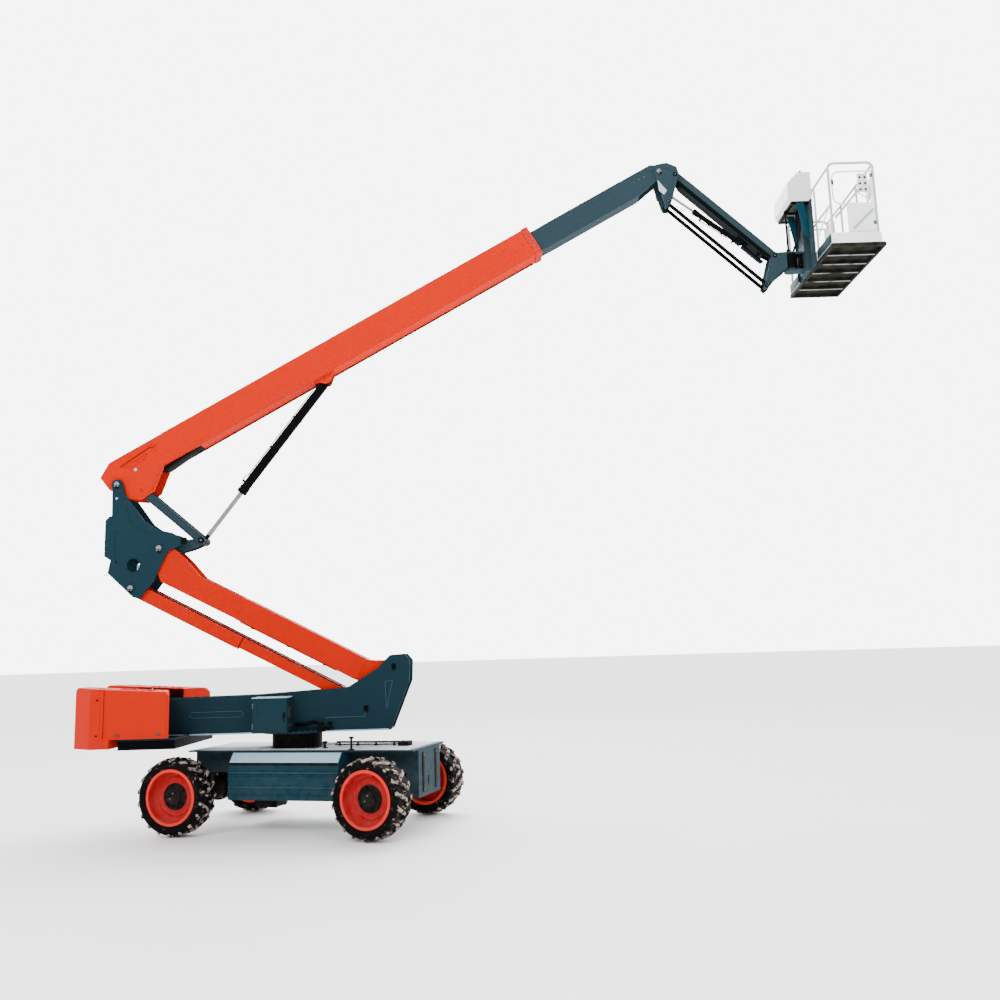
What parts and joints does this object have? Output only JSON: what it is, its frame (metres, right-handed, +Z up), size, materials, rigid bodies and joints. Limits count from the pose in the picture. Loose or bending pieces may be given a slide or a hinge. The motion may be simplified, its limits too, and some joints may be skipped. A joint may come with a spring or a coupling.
{
  "type": "articulating boom lift",
  "caption": "self-propelled articulating boom lift: wheeled chassis, slewing turntable, riser, telescopic main boom, jib and railed work platform",
  "frame": {"origin": "on the ground, midway between the four wheels", "axes": "+X along the boom towards the platform, +Y to the machine's left seen from behind the boom, +Z up"},
  "size_m": [11.7461, 3.481, 9.9113],
  "materials": {
    "black_barrel": "gloss black cylinder enamel",
    "black_steel": "satin black machinery enamel",
    "boom_paint": "semi-gloss orange-red paint",
    "chrome_rod": "hard chrome rod",
    "console_plastic": "moulded light plastic",
    "grey_blue_paint": "semi-gloss grey-blue paint",
    "rim_paint": "red-orange rim paint",
    "teal_paint": "semi-gloss dark teal paint",
    "tyre_rubber": "dusty moulded tyre rubber",
    "weight_paint": "semi-gloss red-orange paint on cast ballast",
    "white_paint": "gloss white paint"
  },
  "bodies": {
    "chassis": {"chassis_frame": "teal_paint", "side_cover_right": "teal_paint", "side_cover_left": "teal_paint", "front_axle": "black_steel", "rear_axle": "black_steel", "drive_gearbox": "black_steel", "slew_ring": "black_steel"},
    "knuckle_right": {"knuckle_right": "black_steel"},
    "knuckle_left": {"knuckle_left": "black_steel"},
    "wheel_front_right": {"tyre_front_right": "tyre_rubber", "rim_front_right": "rim_paint"},
    "wheel_front_left": {"tyre_front_left": "tyre_rubber", "rim_front_left": "rim_paint"},
    "wheel_rear_right": {"tyre_rear_right": "tyre_rubber", "rim_rear_right": "rim_paint"},
    "wheel_rear_left": {"tyre_rear_left": "tyre_rubber", "rim_rear_left": "rim_paint"},
    "turntable": {"turntable_frame": "teal_paint", "counterweight": "weight_paint", "engine_block": "black_steel", "tank_block": "black_steel", "control_box": "teal_paint"},
    "hood_right": {"hood_right": "weight_paint"},
    "hood_left": {"hood_left": "weight_paint"},
    "riser": {"riser": "boom_paint"},
    "tension_link": {"tension_link": "boom_paint"},
    "upright": {"upright": "teal_paint"},
    "riser_barrel": {"riser_cylinder_barrel": "black_barrel"},
    "riser_rod": {"riser_cylinder_rod": "chrome_rod"},
    "main_boom": {"main_boom": "boom_paint"},
    "toggle_lever": {"toggle_lever": "grey_blue_paint"},
    "toggle_strut": {"toggle_strut": "grey_blue_paint"},
    "boom_barrel": {"boom_cylinder_barrel": "black_barrel"},
    "boom_rod": {"boom_cylinder_rod": "chrome_rod"},
    "fly_boom": {"fly_boom": "grey_blue_paint"},
    "nose_bracket": {"nose_bracket": "grey_blue_paint"},
    "jib": {"jib": "grey_blue_paint"},
    "jib_link": {"jib_link": "grey_blue_paint"},
    "jib_barrel": {"jib_cylinder_barrel": "black_barrel"},
    "jib_rod": {"jib_cylinder_rod": "chrome_rod"},
    "jib_head": {"jib_head": "grey_blue_paint"},
    "platform": {"platform_mast": "grey_blue_paint", "platform_floor": "white_paint", "platform_rails": "white_paint", "console": "console_plastic"},
    "gate": {"gate": "white_paint"}
  },
  "joints": [
    {"name": "spin_front_right", "type": "hinge", "parent": "knuckle_right", "child": "wheel_front_right", "pos_m": [1.10248, -1.3995, 0.525], "axis": [0.3987, 0.9171, 0], "continuous": true},
    {"name": "spin_front_left", "type": "hinge", "parent": "knuckle_left", "child": "wheel_front_left", "pos_m": [1.69397, 0.62398, 0.525], "axis": [0.3987, 0.9171, 0], "continuous": true},
    {"name": "spin_rear_right", "type": "hinge", "parent": "chassis", "child": "wheel_rear_right", "pos_m": [-1.68016, -0.62887, 0.525], "axis": [0.2672, 0.9636, 0], "continuous": true},
    {"name": "spin_rear_left", "type": "hinge", "parent": "chassis", "child": "wheel_rear_left", "pos_m": [-1.11629, 1.40439, 0.525], "axis": [0.2672, 0.9636, 0], "continuous": true},
    {"name": "steer_right", "type": "hinge", "parent": "chassis", "child": "knuckle_right", "pos_m": [1.14435, -1.30321, 0.525], "axis": [0, 0, 1], "range_deg": [-27, 43]},
    {"name": "steer_left", "type": "hinge", "parent": "chassis", "child": "knuckle_left", "pos_m": [1.6521, 0.52769, 0.525], "axis": [0, 0, 1], "range_deg": [-27.3, 43.3]},
    {"name": "slew", "type": "hinge", "parent": "chassis", "child": "turntable", "pos_m": [-0.157, 0, 1.302], "axis": [0, 0, 1], "continuous": true},
    {"name": "hood_right", "type": "hinge", "parent": "turntable", "child": "hood_right", "pos_m": [-2.605, -0.913, 1.6], "axis": [0, 0, -1], "range_deg": [0, 95]},
    {"name": "hood_left", "type": "hinge", "parent": "turntable", "child": "hood_left", "pos_m": [-2.605, 0.913, 1.6], "axis": [0, 0, 1], "range_deg": [0, 95]},
    {"name": "riser_lift", "type": "hinge", "parent": "turntable", "child": "riser", "pos_m": [1.281, 0, 2.201], "axis": [0, 1, 0], "range_deg": [-26, 37.3]},
    {"name": "tension_link_swing", "type": "hinge", "parent": "turntable", "child": "tension_link", "pos_m": [0.878, 0, 1.625], "axis": [0, 1, 0], "range_deg": [-26.3, 37.6]},
    {"name": "upright_level", "type": "hinge", "parent": "riser", "child": "upright", "pos_m": [-2.17204, 0, 4.01388], "axis": [0, 1, 0], "range_deg": [-37.6, 26.3]},
    {"name": "riser_barrel_swing", "type": "hinge", "parent": "turntable", "child": "riser_barrel", "pos_m": [-1.25, 0, 1.455], "axis": [0, -1, 0], "range_deg": [-1.61, 2.18]},
    {"name": "riser_rod_slide", "type": "slide", "parent": "riser_barrel", "child": "riser_rod", "axis": [0.9953, 0, 0.0967], "range_m": [-0.3088, 0.2161]},
    {"name": "boom_lift", "type": "hinge", "parent": "upright", "child": "main_boom", "pos_m": [-2.82504, 0, 4.99088], "axis": [0, -1, 0], "range_deg": [-29, 44]},
    {"name": "toggle_lever_swing", "type": "hinge", "parent": "upright", "child": "toggle_lever", "pos_m": [-1.95104, 0, 4.02188], "axis": [0, -1, 0], "range_deg": [-14.8, 22.3]},
    {"name": "toggle_strut_swing", "type": "hinge", "parent": "main_boom", "child": "toggle_strut", "pos_m": [-2.48325, 0, 4.90276], "axis": [0, -1, 0], "range_deg": [-51.78, 34.23]},
    {"name": "boom_barrel_swing", "type": "hinge", "parent": "main_boom", "child": "boom_barrel", "pos_m": [0.27456, 0, 6.5547], "axis": [0, -1, 0], "range_deg": [-1.62, 1.17]},
    {"name": "boom_rod_slide", "type": "slide", "parent": "boom_barrel", "child": "boom_rod", "axis": [-0.605, 0, -0.7962], "range_m": [-0.6407, 0.9706]},
    {"name": "fly_extend", "type": "slide", "parent": "main_boom", "child": "fly_boom", "axis": [0.8742, 0, 0.4856], "range_m": [-1.75, 0.3]},
    {"name": "nose_level", "type": "hinge", "parent": "fly_boom", "child": "nose_bracket", "pos_m": [5.542, 0, 9.76991], "axis": [0, -1, 0], "range_deg": [-44.3, 29.3]},
    {"name": "jib_lift", "type": "hinge", "parent": "nose_bracket", "child": "jib", "pos_m": [5.79601, 0, 9.70891], "axis": [0, -1, 0], "range_deg": [-20, 88]},
    {"name": "jib_link_swing", "type": "hinge", "parent": "nose_bracket", "child": "jib_link", "pos_m": [5.66, 0, 9.25891], "axis": [0, -1, 0], "range_deg": [-20.3, 88.3]},
    {"name": "jib_head_level", "type": "hinge", "parent": "jib", "child": "jib_head", "pos_m": [7.26607, 0, 8.30898], "axis": [0, -1, 0], "range_deg": [-88.3, 20.3]},
    {"name": "jib_barrel_swing", "type": "hinge", "parent": "jib", "child": "jib_barrel", "pos_m": [6.7564, 0, 8.61482], "axis": [0, -1, 0], "range_deg": [-3.71, 1.08]},
    {"name": "jib_rod_slide", "type": "slide", "parent": "jib_barrel", "child": "jib_rod", "axis": [-0.7845, 0, 0.6201], "range_m": [-0.0903, 0.387]},
    {"name": "platform_rotate", "type": "hinge", "parent": "jib_head", "child": "platform", "pos_m": [7.54007, 0, 8.30898], "axis": [0, 0, 1], "range_deg": [-90, 90]},
    {"name": "gate_swing", "type": "hinge", "parent": "platform", "child": "gate", "pos_m": [8.51677, -0.99, 8.28998], "axis": [0, 0, -1], "range_deg": [0, 90]}
  ],
  "couplings": [
    {"joint": "steer_left", "follows": "steer_right", "ratio": 1},
    {"joint": "tension_link_swing", "follows": "riser_lift", "ratio": 1},
    {"joint": "upright_level", "follows": "riser_lift", "ratio": -1},
    {"joint": "riser_barrel_swing", "follows": "riser_lift", "ratio": 0.0504},
    {"joint": "riser_rod_slide", "follows": "riser_lift", "m_per_rad": -0.4697},
    {"joint": "toggle_lever_swing", "follows": "boom_lift", "ratio": 0.5},
    {"joint": "toggle_strut_swing", "follows": "boom_lift", "ratio": -1.17},
    {"joint": "boom_barrel_swing", "follows": "boom_lift", "ratio": -0.03},
    {"joint": "boom_rod_slide", "follows": "boom_lift", "m_per_rad": 1.26},
    {"joint": "nose_level", "follows": "boom_lift", "ratio": -1},
    {"joint": "jib_link_swing", "follows": "jib_lift", "ratio": 1},
    {"joint": "jib_head_level", "follows": "jib_lift", "ratio": -1},
    {"joint": "jib_barrel_swing", "follows": "jib_lift", "ratio": -0.0388},
    {"joint": "jib_rod_slide", "follows": "jib_lift", "m_per_rad": 0.25}
  ]
}
